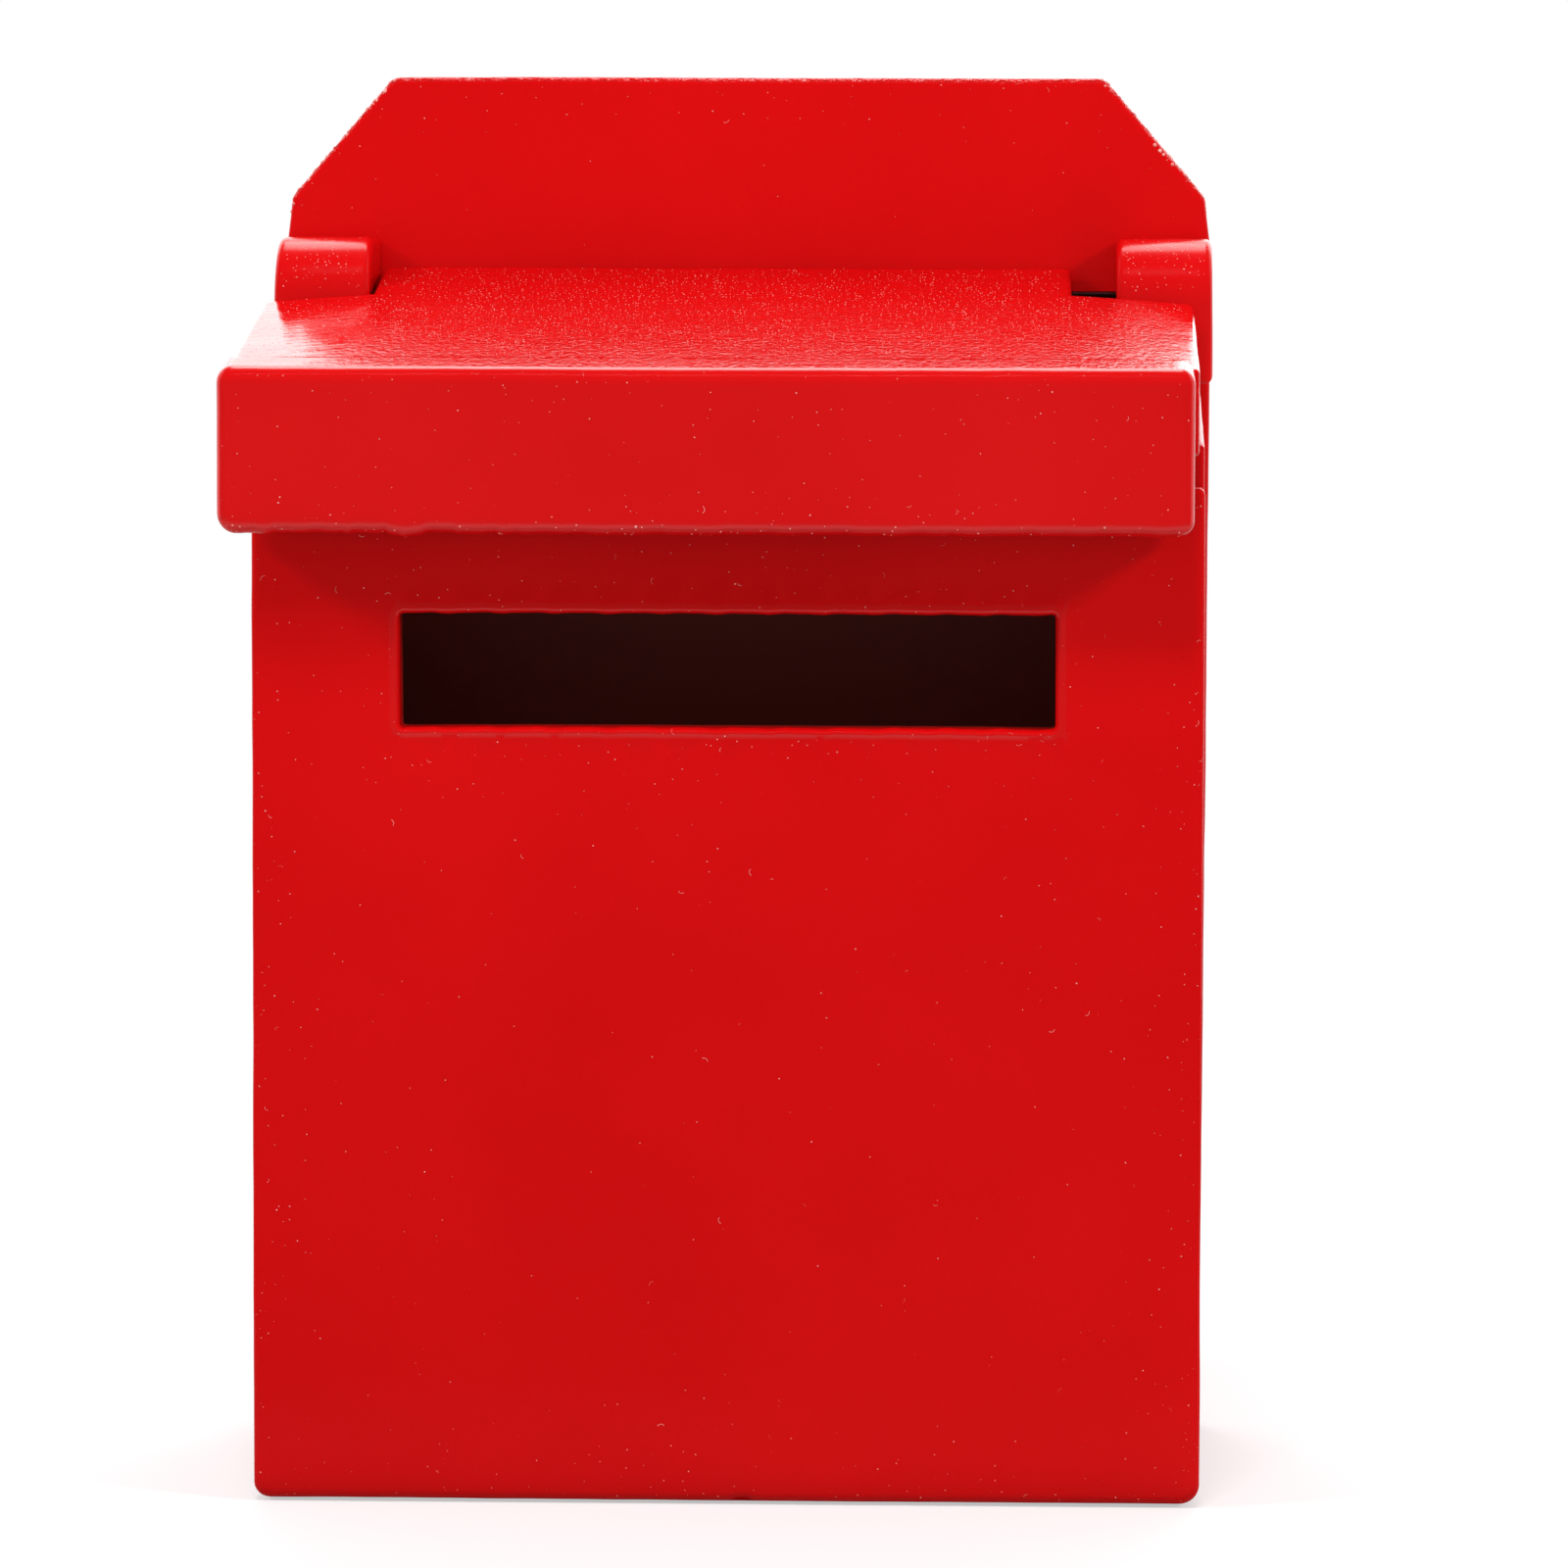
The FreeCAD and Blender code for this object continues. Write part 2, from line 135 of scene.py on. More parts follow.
def face_spots(rings, grid, step):
    """Points spread over a face, clear of its outer ring and its holes, and how far each is from an edge."""
    stagger, clearance = 0.25, 0.45
    edge = np.vstack(rings)
    lowest, highest = edge.min(axis=0), edge.max(axis=0)
    counts = np.maximum(2, ((highest - lowest) / grid).astype(int))
    cells = np.stack(np.meshgrid(np.arange(counts[0]), np.arange(counts[1])), axis=-1).reshape(-1, 2)
    spots = lowest + (cells + 0.5 + stagger * (cells[:, ::-1] % 2)) * (highest - lowest) / counts
    keep = inside(spots, rings[0])
    for hole in rings[1:]:
        keep &= ~inside(spots, hole)
    spots = spots[keep]
    gaps = np.array([np.hypot(*(edge - spot).T).min() for spot in spots])
    clear = gaps > clearance * min(grid, step)
    return spots[clear], gaps[clear]


def face_triangles(rings, starts, spots, first_spot):
    """Triangles that join a face's rings and the points between them, by their numbers in the whole board."""
    flat, links, numbers = [], [], []
    for ring, start in zip(rings, starts):
        base, size = len(flat), len(ring)
        flat += [Vector(spot) for spot in ring]
        numbers += range(start, start + size)
        links += [(base + k, base + (k + 1) % size) for k in range(size)]
    flat += [Vector(spot) for spot in spots]
    numbers += range(first_spot, first_spot + len(spots))
    fill_inside, nearness = 1, 1e-7
    made = geometry.delaunay_2d_cdt(flat, links, [], fill_inside, nearness)
    places, triangles, origins = made[0], made[2], made[3]
    sources = [numbers[origin[0]] for origin in origins]
    middles = np.array([sum((places[v] for v in corners), Vector((0, 0))) / 3 for corners in triangles])
    solid = np.ones(len(middles), bool)
    for hole in rings[1:]:
        solid &= ~inside(middles, hole)
    return [[sources[v] for v in corners] for corners, kept in zip(triangles, solid) if kept]


def soft_board(name, corners, rounds, depth, eases, place, holes=(), step=1.2, grids=(2.5, 2.5), shape=None):
    """A closed board mesh in mm: an outline carried through a depth, its edges softened by sanding and paint.

    Points are (along, up, through) the board. shape may move them, and place turns them into the box's frame.
    step and grids are the spacing of points round the outline and over the low and the high face.
    The attribute rim runs from 1 along the edges to 0 in the middle of a face."""
    face_rim, rim_fade = 0.8, 3
    profile = edge_profile(depth, eases, step)
    points, rims, faces = [], [], []
    caps = {0: [], len(profile) - 1: []}
    for loop_corners, loop_rounds, sign in [(corners, rounds, 1), *holes]:
        below = None
        for level, (inset, height) in enumerate(profile):
            ring = outline_ring(loop_corners, loop_rounds, sign * inset, step)
            start, size = len(points), len(ring)
            points += [(*spot, height) for spot in ring]
            rims += [face_rim if level in caps else 1.0] * size
            if level in caps:
                caps[level].append((ring, start))
            if below is not None:
                faces += [(below + k, below + (k + 1) % size, start + (k + 1) % size, start + k)
                          for k in range(size)]
            below = start
    for (level, loops), grid in zip(caps.items(), grids):
        rings, starts = zip(*loops)
        spots, gaps = face_spots(rings, grid, step)
        faces += face_triangles(rings, starts, spots, len(points))
        points += [(*spot, profile[level][1]) for spot in spots]
        rims += list(face_rim * np.exp(-gaps / rim_fade))
    spots = np.array(points)
    if shape:
        spots = shape(spots)
    spots = np.array(place(*spots.T)).T
    mesh = bpy.data.meshes.new(name)
    mesh.from_pydata(spots.tolist(), [], faces)
    mesh.attributes.new("rim", "FLOAT", "POINT").data.foreach_set("value", rims)
    work = bmesh.new()
    work.from_mesh(mesh)
    bmesh.ops.recalc_face_normals(work, faces=work.faces)
    work.to_mesh(mesh)
    work.free()
    mesh.shade_smooth()
    return mesh


def hand_finish(mesh, node, sway=0.045, lined=True):
    """Give a board the slight unevenness of hand sanding, in its node's box, and turn mm into metres.

    Its point attribute is 1 on the outside and 0 on faces that line the box, where little spray came and
    where painted shade darkens them."""
    long_wave, short_wave, ripple = 11, 3, 0.018
    spots = np.array([vertex.co for vertex in mesh.vertices])
    drift = [noise.noise_vector(Vector(spot) / long_wave) * sway
             + noise.noise_vector(Vector(spot) / short_wave) * ripple for spot in spots]
    spots += np.array(drift)
    lowest, highest = (np.array(corner) * 1000 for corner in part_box(node))
    spots = lowest + (spots - spots.min(axis=0)) / np.ptp(spots, axis=0) * (highest - lowest)
    # Faces inside the walls, above the floor and below a set height are the lining: they take a dull brown
    # that holds painted shade.
    inner_low, inner_high = box_mm("floor_panel")
    into_side, into_end, into_floor, lining_top = 0.15, 0.2, 0.3, 70
    x, y, z = spots.T
    within = (np.abs(x) < inner_high[0] + into_side) & (z > inner_high[2] - into_floor) & (z < lining_top)
    within &= (y > inner_low[1] - into_end) & (y < inner_high[1] + into_end)
    mesh.attributes.new("sprayed", "FLOAT", "POINT").data.foreach_set("value", 1.0 - (lined & within))
    mesh.vertices.foreach_set("co", (spots / 1000).ravel())
    mesh.update()


def add_piece(mesh, body, material, node=None):
    """Put a finished piece in the scene, on its body and in place of its node."""
    mesh.materials.append(material)
    piece = bpy.data.objects.new(mesh.name, mesh)
    bpy.context.scene.collection.objects.link(piece)
    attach(piece, body)
    if node:
        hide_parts(node)


def srgb(code):
    """A hex colour as linear values."""
    parts = [int(code[k:k + 2], 16) / 255 for k in (1, 3, 5)]
    return [*(p / 12.92 if p <= 0.04045 else ((p + 0.055) / 1.055) ** 2.4 for p in parts), 1.0]


def add_node(tree, kind, settings=None, **links):
    """Add a node, set its properties and inputs, and link the inputs that are given an output socket.

    An input goes by its name, or by an underscore and its number where several have the same name."""
    node = tree.nodes.new(kind)
    for key, value in (settings or {}).items():
        setattr(node, key, value)
    for key, value in links.items():
        socket = node.inputs[int(key[1:]) if key[1:].isdigit() else key.replace("_", " ")]
        if isinstance(value, bpy.types.NodeSocket):
            tree.links.new(value, socket)
        else:
            socket.default_value = value
    return node


def blank_material(name):
    """A new material with nothing in its node tree."""
    material = bpy.data.materials.new(name)
    material.use_nodes = True
    material.node_tree.nodes.clear()
    return material


def satin_red_enamel(name, pit_mm=(0.9, 0.9), pit_depth=0.006, ridge_mm=(6, 0.8), ridge_depth=0.004,
                     roughness=0.20, specular=0.10, pitted_mm=100):
    """Satin alkyd enamel, laid on sanded softwood with a spray gun: deep even red, a soft sheen, fine orange
    peel.

    Grain that the first coat raised shows through as low ridges along X. Sizes are (along X, across) in mm.
    The pits die out beyond pitted_mm from the middle, where a board's ends were rubbed smoother."""
    cloud_mm, middle_mm, fade_mm = 25, 2, 3
    closer_sheen, duller_sheen = 0.03, 0.05
    rubbed_pits, rubbed_roughness = 0.12, 0.35
    material = blank_material(name)
    tree = material.node_tree
    spot = add_node(tree, "ShaderNodeTexCoord").outputs["Object"]
    # Clouds where the coat lies thicker or thinner.
    cloud = add_node(tree, "ShaderNodeTexNoise", Vector=spot, Scale=1000 / cloud_mm, Detail=3.0)
    colour = add_node(tree, "ShaderNodeValToRGB", Fac=cloud.outputs["Fac"])
    thin, thick = colour.color_ramp.elements
    thin.position, thin.color = 0.3, srgb("#CE070A")
    thick.position, thick.color = 0.7, srgb("#D80A0C")
    sheen = add_node(tree, "ShaderNodeMapRange", Value=cloud.outputs["Fac"], To_Min=roughness - closer_sheen,
                     To_Max=roughness + duller_sheen)
    # Inside the box the spray is thin and the bare softwood shows through it dull and brown. This colour is
    # also darker than that, as painted shade for the dim inside of the closed box.
    sprayed = add_node(tree, "ShaderNodeAttribute", {"attribute_name": "sprayed"})
    coat = add_node(tree, "ShaderNodeMix", {"data_type": "RGBA"}, _0=sprayed.outputs["Fac"],
                    _6=srgb("#A84C40"), _7=colour.outputs["Color"])
    # Orange peel: shallow pits of the size of the spray's drops.
    pit_scale = (1000 / pit_mm[0], 1000 / pit_mm[1], 1000 / pit_mm[1])
    pit_spot = add_node(tree, "ShaderNodeMapping", Vector=spot, Scale=pit_scale)
    peel = add_node(tree, "ShaderNodeTexNoise", Vector=pit_spot.outputs["Vector"], Scale=1.0, Detail=2.0,
                    Roughness=0.6)
    # Raised grain: long ridges that follow the plank's length.
    ridge_scale = (1000 / ridge_mm[0], 1000 / ridge_mm[1], 1000 / ridge_mm[1])
    ridge_spot = add_node(tree, "ShaderNodeMapping", Vector=spot, Scale=ridge_scale)
    grain = add_node(tree, "ShaderNodeTexNoise", Vector=ridge_spot.outputs["Vector"], Scale=1.0, Detail=3.0,
                     Roughness=0.6)
    # Rubbed ends: shallower pits and a closer sheen.
    along = add_node(tree, "ShaderNodeSeparateXYZ", Vector=spot)
    shifted = add_node(tree, "ShaderNodeMath", {"operation": "SUBTRACT"}, _0=along.outputs["X"],
                       _1=middle_mm / 1000)
    reach = add_node(tree, "ShaderNodeMath", {"operation": "ABSOLUTE"}, _0=shifted.outputs["Value"])
    pitted = add_node(tree, "ShaderNodeMapRange", Value=reach.outputs["Value"], From_Min=pitted_mm / 1000,
                      From_Max=(pitted_mm + fade_mm) / 1000, To_Min=1.0, To_Max=rubbed_pits)
    rubbed = add_node(tree, "ShaderNodeMapRange", Value=pitted.outputs["Result"], From_Min=rubbed_pits,
                      From_Max=1.0, To_Min=rubbed_roughness, To_Max=1.0)
    satin = add_node(tree, "ShaderNodeMath", {"operation": "MULTIPLY"}, _0=sheen.outputs["Result"],
                     _1=rubbed.outputs["Result"])
    pits = add_node(tree, "ShaderNodeBump", Strength=pitted.outputs["Result"], Height=peel.outputs["Fac"],
                    Distance=pit_depth / 1000)
    ridges = add_node(tree, "ShaderNodeBump", Height=grain.outputs["Fac"], Distance=ridge_depth / 1000,
                      Normal=pits.outputs["Normal"])
    paint = add_node(tree, "ShaderNodeBsdfPrincipled", Base_Color=coat.outputs[2], IOR=1.5,
                     Roughness=satin.outputs["Value"], Specular_IOR_Level=specular,
                     Normal=ridges.outputs["Normal"])
    add_node(tree, "ShaderNodeOutputMaterial", Surface=paint.outputs["BSDF"])
    return material


def lying(along, up, through):
    """A board that lies flat: its outline in X and Y, its thickness along Z."""
    return along, up, through


smooth_enamel = satin_red_enamel("satin_red_enamel")
# The unevenness of the sanding comes from a fixed seed, so that it is the same each run.
sanding_seed = 5
noise.seed_set(sanding_seed)
crisp_corner, light_ease = 0.1, 0.15
floor_low, floor_high = box_mm("floor_panel")
floor_outline = rectangle(floor_low[0], floor_high[0], floor_low[1], floor_high[1])
mesh = soft_board("floor_board", floor_outline, [crisp_corner] * 4, (floor_low[2], floor_high[2]),
                  (light_ease, light_ease), lying)
hand_finish(mesh, "floor_panel")
add_piece(mesh, "box", smooth_enamel, "floor_panel")

# Sides: two 3 mm boards between the front panel and the back board, their tops planed to the lid's slope.
# Softwood, glued and pinned to the floor, with their front ends hidden behind the front panel.
lid_pitch = math.radians(10)
slope = math.tan(lid_pitch)
side_low, side_high = box_mm("left_side")
side_front, side_back = side_low[1], side_high[1]
side_middle = abs(side_low[0] + side_high[0]) / 2
front_top = 66.9
back_top = front_top + (side_back - side_front) * slope
side_outline = [(side_front, 0), (side_back, 0), (side_back, back_top), (side_front, front_top)]
outer_ease = 0.3


def lengthways(along, up, through):
    """A board that runs from front to back: its outline in Y and Z, its thickness along X."""
    return through, along, up


def fade(distance, reach):
    """1 at an edge, falling evenly to 0 at reach from it."""
    return np.clip(1 - distance / reach, 0, 1)


def side_shape(spots):
    """Rub the outer lower edge round."""
    rub_depth, rub_height = 0.7, 1.2
    along, up, through = spots.T
    rub = rub_depth * fade(up, rub_height) ** 2 * (np.abs(through) > side_middle)
    return np.stack([along, up, through - np.sign(through) * rub], axis=1)


for hand, sign in (("left", -1), ("right", 1)):
    low, high = box_mm(f"{hand}_side")
    mesh = soft_board(f"{hand}_side_board", side_outline, [crisp_corner] * 4, (low[0], high[0]),
                      (light_ease, outer_ease)[::sign], lengthways, shape=side_shape)
    hand_finish(mesh, f"{hand}_side")
    add_piece(mesh, "box", smooth_enamel, f"{hand}_side")

# Front panel: a 3 mm board laid over the front ends of the sides, with the coin slot sawn through it.
# Softwood, glued and pinned. Paint has drawn back from the slot's edges and left a thin bead round it.
front_low, front_high = box_mm("front_panel")
front_outline = rectangle(front_low[0], front_high[0], front_low[2], front_high[2])
front_rounds = [1.0, 1.3, 0.5, 0.5]
front_eases = (0.4, 0.12)
slot_half, slot_bottom, slot_top = 20.65, 49.15, 56.35
slot_middle, slot_rise = (slot_bottom + slot_top) / 2, (slot_top - slot_bottom) / 2
slot_outline = rectangle(-slot_half, slot_half, slot_bottom, slot_top)
slot_round = 0.2


def upright(along, up, through):
    """A board that faces the front: its outline in X and Z, its thickness along Y."""
    return along, through, up


def hump(place, middle, width):
    """A soft rise to 1 at the middle."""
    return np.exp(-((place - middle) / width) ** 2)


def front_shape(spots):
    """A wavy bead of paint along the slot's edges, a rubbed lower edge, and one small nick in it."""
    face_depth = front_low[1] + 0.65
    wave_height, wave_beside, wave_above = 0.07, 0.85, 1.15
    bead_height, bead_middle, bead_width = 0.13, 0.25, 0.2
    rub_depth, rub_height = 0.35, 1.4
    nick_place, nick_width, nick_height, nick_reach = 1.05, 0.45, 0.3, 0.8
    along, up, through = spots.T
    around = (np.abs(along) < slot_half + wave_beside) & (np.abs(up - slot_middle) < slot_rise + wave_above)
    # Waves of 3.3, 1.7 and 2.7 mm, which never fall together.
    wave = np.sin(along * 1.9) * 0.5 + np.sin(along * 3.7 + 1) * 0.3 + np.sin(up * 2.3) * 0.4
    up = up + np.where(around & (through < face_depth), wave_height * wave, 0)
    gap = np.maximum(np.abs(along) - slot_half, np.abs(up - slot_middle) - slot_rise)
    through = through - bead_height * hump(gap, bead_middle, bead_width) * (through < face_depth)
    through = through + rub_depth * fade(up, rub_height) ** 2 * (through < face_depth)
    nick = nick_height * hump(along, nick_place, nick_width) * fade(up, nick_reach)
    return np.stack([along, up + nick * (through < face_depth), through], axis=1)


mesh = soft_board("front_board", front_outline, front_rounds, (front_low[1], front_high[1]), front_eases,
                  upright, holes=[(slot_outline, [slot_round] * 4, -1)], step=0.5, grids=(1.5, 2.5),
                  shape=front_shape)
hand_finish(mesh, "front_panel")
add_piece(mesh, "box", smooth_enamel, "front_panel")
# Where the paint flooded and stood thick, it set fuller and glossier than on the flat boards.
flooded_enamel = satin_red_enamel("satin_red_enamel_flooded", pit_mm=(1.4, 1.4), pit_depth=0.008,
                                  ridge_depth=0.003, roughness=0.19, specular=0.4)
mesh.materials.append(flooded_enamel)
flood_beside, flood_above = 0.65, 0.6
for face in mesh.polygons:
    in_width = abs(face.center.x) < (slot_half + flood_beside) / 1000
    in_height = abs(face.center.z - slot_middle / 1000) < (slot_rise + flood_above) / 1000
    face.material_index = int(in_width and in_height)

# Back board: a 4 mm board that closes the back and stands above the lid, its top corners sawn off.
# Softwood, glued and pinned to the sides, and a little narrower at the foot.
# The sawn bevels drank the paint and stayed rough.
board_low, board_high = box_mm("back_board")
board_half, board_top = board_high[0], board_high[2]
foot_narrowing, shoulder_narrowing = 0.35, 0.43
widest_height, shoulder_height, top_half = 79, 82.6, 23.65
right_edge = [(board_half - foot_narrowing, 0), (board_half, widest_height),
              (board_half - shoulder_narrowing, shoulder_height), (top_half, board_top)]
right_rounds = [1.2, 3, 0.9, 1.0]
left_foot = (-right_edge[0][0], 0)
board_outline = [left_foot, *right_edge, *((-across, up) for across, up in right_edge[:0:-1])]
board_rounds = [right_rounds[0], *right_rounds, *right_rounds[:0:-1]]
board_ease = 0.45
mesh = soft_board("tall_back_board", board_outline, board_rounds, (board_low[1], board_high[1]),
                  (board_ease, board_ease), upright, step=0.6)
hand_finish(mesh, "back_board")
add_piece(mesh, "box", smooth_enamel, "back_board")
# Coarse torn fibres of the sawn end grain, 0.5 mm across, stiff with paint.
sawn_enamel = satin_red_enamel("satin_red_enamel_on_sawn_ends", pit_mm=(0.5, 0.5), pit_depth=0.35,
                               ridge_mm=(1.2, 0.6), ridge_depth=0.2, roughness=0.30, specular=0.5)
mesh.materials.append(sawn_enamel)
# The sawn faces are those that lean upward above this height in metres.
sawn_from, sawn_tilt = 0.0815, 0.3
for face in mesh.polygons:
    face.material_index = int(face.center.z > sawn_from and face.normal.z > sawn_tilt)

# Hinge blocks: two square blocks glued on the sides and against the back board, rounded over in front.
# Softwood, bored right through for the pins. Paint lies a little fuller over the round.
hinge_y, hinge_z = (round(value * 1000, 2) for value in frame["joints"][0]["pos_m"][1:])
block_low, block_high = box_mm("left_hinge_block")
block_front, block_back, block_top = block_low[1], block_high[1], block_high[2]
block_outline = [(block_front, block_low[2]), (block_back, side_high[2]), (block_back, block_top),
                 (block_front, block_top)]
block_rounds = [0.1, 0.1, 0.3, 4.2]
block_ease = 0.5
bore_radius, bore_round, bore_sides = 0.75, 0.02, 12
bore_angles = [2 * math.pi * k / bore_sides for k in range(bore_sides)]
bore_outline = [(hinge_y + bore_radius * math.cos(angle), hinge_z + bore_radius * math.sin(angle))
                for angle in bore_angles]
rounded_enamel = satin_red_enamel("satin_red_enamel_on_rounded_blocks", specular=0.25)
for hand in ("left", "right"):
    low, high = box_mm(f"{hand}_hinge_block")
    mesh = soft_board(f"{hand}_rounded_block", block_outline, block_rounds, (low[0], high[0]),
                      (block_ease, block_ease), lengthways, step=0.5, grids=(0.7, 0.7),
                      holes=[(bore_outline, [bore_round] * bore_sides, -1)])
    hand_finish(mesh, f"{hand}_hinge_block", sway=0.06)
    add_piece(mesh, "box", rounded_enamel, f"{hand}_hinge_block")

# Lid panel: a 6 mm plank that slopes down to the front, its middle running on as the hinge's tongue.
# Softwood planed along X. Its top was brushed less smooth than the rest, so the raised grain shows,
# but the ends were rubbed down and fall away a little.
cosine, sine = math.cos(lid_pitch), math.sin(lid_pitch)
lid_low, lid_high = box_mm("lid_panel")
lid_left, lid_right = lid_low[0], lid_high[0]
lid_front, lid_back = (lid_low[1] - hinge_y) / cosine, (lid_high[1] - hinge_y) / cosine
tongue_left, tongue_right, shoulder = -24.2, 21.6, -5.33
plank_outline = [(lid_left, lid_front), (lid_right, lid_front), (lid_right, shoulder),
                 (tongue_right, shoulder), (tongue_right, lid_back), (tongue_left, lid_back),
                 (tongue_left, shoulder), (lid_left, shoulder)]
plank_rounds = [0.3, 0.3, 0.9, 0.15, 0.3, 0.3, 0.15, 0.9]
plank_under, plank_top, plank_ease = -4.3, 1.7, 0.3
# The true grain is about 0.25 mm across, and is drawn about twice as coarse so that it shows.
grained_enamel = satin_red_enamel("satin_red_enamel_on_raised_grain", pit_mm=(0.36, 0.6), pit_depth=0.1,
                                  ridge_mm=(5.0, 0.6), ridge_depth=0.022, roughness=0.15, specular=0.5,
                                  pitted_mm=24)


def lid_place(along, run, height):
    """From the plank's own length, run and height over the hinge's axis to the box's frame."""
    return along, hinge_y + run * cosine - height * sine, hinge_z + run * sine + height * cosine


def lid_shape(spots):
    """Plumb the front end and the tongue's back, and let the top fall away to the ends."""
    plumb_front, front_blend, plumb_back, back_blend = -20, 6, -4, 4
    flat_half, bend, fall_slope = 21, 3, 0.075
    along, run, height = spots.T
    plumb = np.clip((plumb_front - run) / front_blend, 0, 1) + np.clip((run - plumb_back) / back_blend, 0, 1)
    past = np.clip(np.abs(along - (lid_left + lid_right) / 2) - flat_half, 0, None)
    fall = np.where(past < bend, past ** 2 / (2 * bend), past - bend / 2) * fall_slope
    fallen = np.where(height > 0, height - fall, height)
    return np.stack([along, run + height * slope * plumb, fallen], axis=1)


mesh = soft_board("lid_plank", plank_outline, plank_rounds, (plank_under, plank_top),
                  (plank_ease, plank_ease), lid_place, step=0.6, grids=(2.0, 0.5), shape=lid_shape)
hand_finish(mesh, "lid_panel", lined=False)
add_piece(mesh, "lid", grained_enamel, "lid_panel")

# Lid fascia: a 4 mm lip board glued and pinned to the plank's front end, its top planed to the slope.
# Softwood, its front edges well rounded, with paint that ran down and set along the lower edge.
lip_low, lip_high = box_mm("lid_fascia")
lip_front, lip_back = lip_low[1], lip_high[1]
lip_front_top = 71.74
lip_outline = rectangle(lip_low[0], lip_high[0], lip_low[2], lip_front_top)
lip_rounds = [1.3, 1.0, 1.0, 1.0]
lip_eases = (0.8, 0.1)


def lip_shape(spots):
    """Slope the top with the lid, and let paint that ran down hang in a wavy line from the lower edge."""
    slope_from, slope_blend = 68, 3
    run_top, run_reach, run_back = 62.8, 1.2, -19.5
    flood_start, flood_blend, flood_end, flood_tail = -30.5, 1.5, -13, 0.5
    mean_drop, drop_gain = 0.12, 0.8
    along, up, through = spots.T
    up = up + (through - lip_front) * slope * np.clip((up - slope_from) / slope_blend, 0, 1)
    # Drops about 1.4 mm apart, broken up by narrow ones of 0.4 mm.
    broad = np.array([abs(noise.noise((spot * 0.7, 0.5, 7.0))) for spot in along])
    narrow = np.array([noise.noise((spot * 2.5, 0.5, 7.0)) for spot in along])
    ragged = 0.5 * broad + 0.14 * narrow
    flooded = np.clip((along - flood_start) / flood_blend, 0, 1)
    flooded = flooded / (1 + np.exp((along - flood_end) / flood_tail))
    runs = 0.02 * np.sin(along * 1.1) + 0.02 * np.sin(along * 2.7 + 0.6)
    runs = runs + drop_gain * (mean_drop - ragged) * flooded
    up = up + runs * np.clip((run_top - up) / run_reach, 0, 1) * (through < run_back)
    return np.stack([along, up, through], axis=1)


mesh = soft_board("lid_lip", lip_outline, lip_rounds, (lip_front, lip_back), lip_eases, upright, step=0.3,
                  grids=(1.5, 2.5), shape=lip_shape)
hand_finish(mesh, "lid_fascia", lined=False)
add_piece(mesh, "lid", flooded_enamel, "lid_fascia")
# The lip's top was brushed together with the plank's.
mesh.materials.append(grained_enamel)
brushed_tilt = 0.97
for face in mesh.polygons:
    face.material_index = int(face.normal.z > brushed_tilt)

# Pins: steel wire for the hinge, and headless panel pins sunk under the paint.
# Drawn wire with fine lines along each pin and a dull, low sheen. It is coloured near-black as painted shade,
# for the shadowed gaps beside the hinge tongue.
steel = blank_material("drawn_steel_wire")
tree = steel.node_tree
spot = add_node(tree, "ShaderNodeTexCoord").outputs["Object"]
line_mm, stretch = 0.05, 0.03
lined_up = add_node(tree, "ShaderNodeMapping", Vector=spot, Scale=(stretch, 1.0, 1.0))
lines = add_node(tree, "ShaderNodeTexNoise", Vector=lined_up.outputs["Vector"], Scale=1000 / line_mm,
                 Detail=2.0)
colour = add_node(tree, "ShaderNodeValToRGB", Fac=lines.outputs["Fac"])
dark, drawn_line = colour.color_ramp.elements
# Both tones are painted shade, far darker than bare steel.
dark.color = srgb("#2C1C1C")
drawn_line.color = srgb("#4A3434")
dull = add_node(tree, "ShaderNodeMapRange", Value=lines.outputs["Fac"], To_Min=0.3, To_Max=0.45)
wire = add_node(tree, "ShaderNodeBsdfPrincipled", Base_Color=colour.outputs["Color"], Metallic=1.0,
                Roughness=dull.outputs["Result"])
add_node(tree, "ShaderNodeOutputMaterial", Surface=wire.outputs["BSDF"])
for name in ("left_hinge_pin", "right_hinge_pin", "front_panel_pins", "back_board_pins", "hinge_block_pins",
             "floor_pins", "fascia_pins"):
    pin = frame["nodes"][name].data
    pin.materials.clear()
    pin.materials.append(steel)

# Dust and lint: specks that settled in the wet paint and set there, thickest along the boards' edges. Under
# the enamel they are small bumps and short curled hairs, coloured pale pink: partly pale dust, and partly a
# painted highlight on the coated bumps.
# Specks are about 0.02 to 0.12 mm across on the broad faces, and up to 0.35 mm on the sawn edges.
dust_and_painted_highlight = blank_material("enamel_over_dust")
tree = dust_and_painted_highlight.node_tree
spot = add_node(tree, "ShaderNodeTexCoord").outputs["Object"]
# Each speck is a little paler or redder than the next. The pale end of this range is partly painted
# highlight.
mottle_mm = 2
mottle = add_node(tree, "ShaderNodeTexNoise", Vector=spot, Scale=1000 / mottle_mm, Detail=1.0)
colour = add_node(tree, "ShaderNodeValToRGB", Fac=mottle.outputs["Fac"])
redder, paler = colour.color_ramp.elements
redder.position, redder.color = 0.35, srgb("#E04A44")
paler.position, paler.color = 0.65, srgb("#F8B4AC")
speck = add_node(tree, "ShaderNodeBsdfPrincipled", Base_Color=colour.outputs["Color"], Roughness=0.45)
add_node(tree, "ShaderNodeOutputMaterial", Surface=speck.outputs["BSDF"])

scatter = bpy.data.node_groups.new("caught_dust", "GeometryNodeTree")
for name, kind in (("Board", "Geometry"), ("Specks per square metre", "Float"),
                   ("Hairs per square metre", "Float"), ("Facing", "Vector"), ("Lowest", "Float"),
                   ("Edge gain", "Float"), ("Coarseness", "Float"), ("Seed", "Int"), ("Finish", "Material")):
    scatter.interface.new_socket(name, in_out="INPUT", socket_type="NodeSocket" + kind)
scatter.interface.new_socket("Dust", in_out="OUTPUT", socket_type="NodeSocketGeometry")
given = add_node(scatter, "NodeGroupInput").outputs
